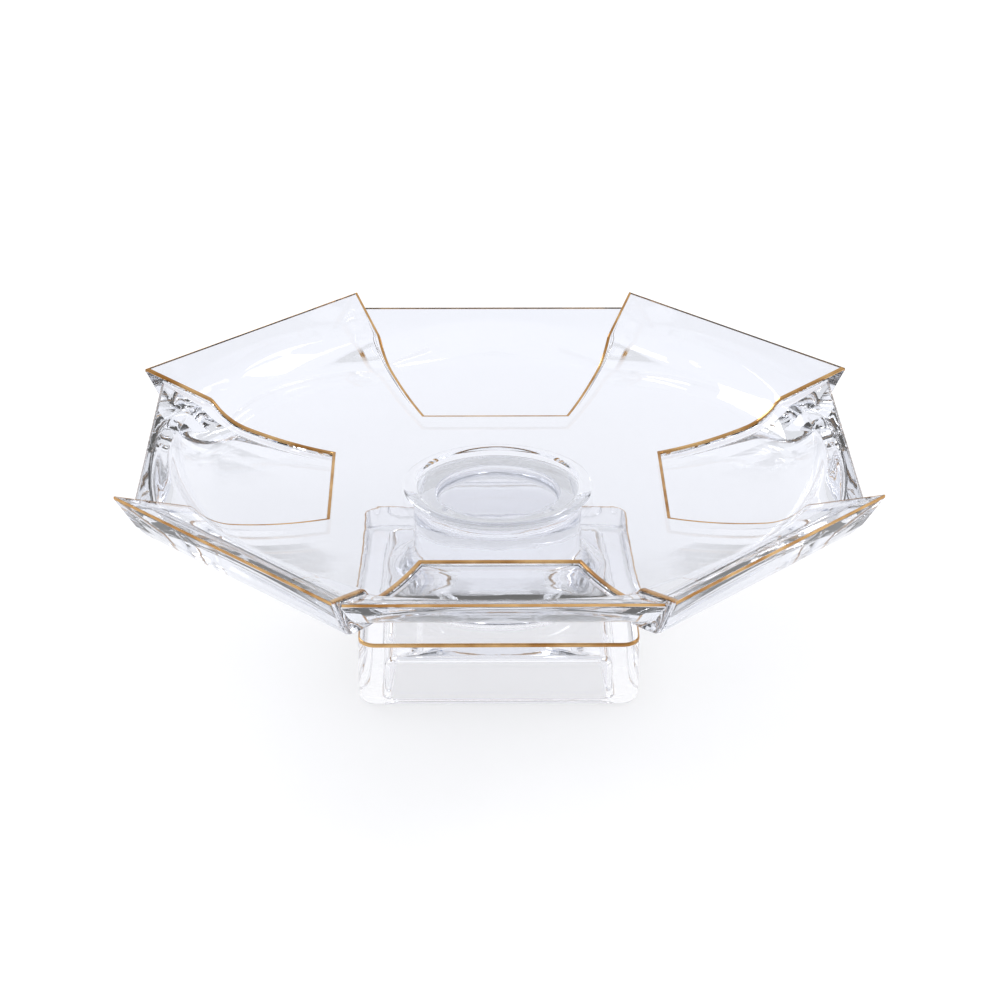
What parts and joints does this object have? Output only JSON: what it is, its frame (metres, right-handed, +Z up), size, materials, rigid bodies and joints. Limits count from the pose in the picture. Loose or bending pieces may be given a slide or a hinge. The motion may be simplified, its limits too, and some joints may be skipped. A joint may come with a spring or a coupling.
{
  "type": "footed serving tray",
  "caption": "Octagonal pressed-glass server with recessed side panels and gold lines, bonded on a round neck and a hollow square foot.",
  "frame": {"origin": "middle of the foot's underside, on the surface it stands on", "axes": "+Z up through the neck; +X and +Y through the middles of two recessed panels"},
  "size_m": [0.33, 0.33, 0.108],
  "materials": {
    "clear_glass": "polished pressed glass",
    "fired_gold": "bright fired liquid gold",
    "clear_adhesive": "clear cured adhesive"
  },
  "bodies": {
    "root": {"tray": "clear_glass", "pedestal": "clear_glass", "bond_ring": "clear_adhesive", "foot_gilding": "fired_gold", "petal_rim_gilding_back_right": "fired_gold", "petal_rim_gilding_back_left": "fired_gold", "petal_rim_gilding_front_left": "fired_gold", "petal_rim_gilding_front_right": "fired_gold", "panel_rim_gilding_right": "fired_gold", "panel_rim_gilding_back": "fired_gold", "panel_rim_gilding_left": "fired_gold", "panel_rim_gilding_front": "fired_gold", "panel_line_gilding_right": "fired_gold", "panel_line_gilding_back": "fired_gold", "panel_line_gilding_left": "fired_gold", "panel_line_gilding_front": "fired_gold"}
  },
  "joints": []
}
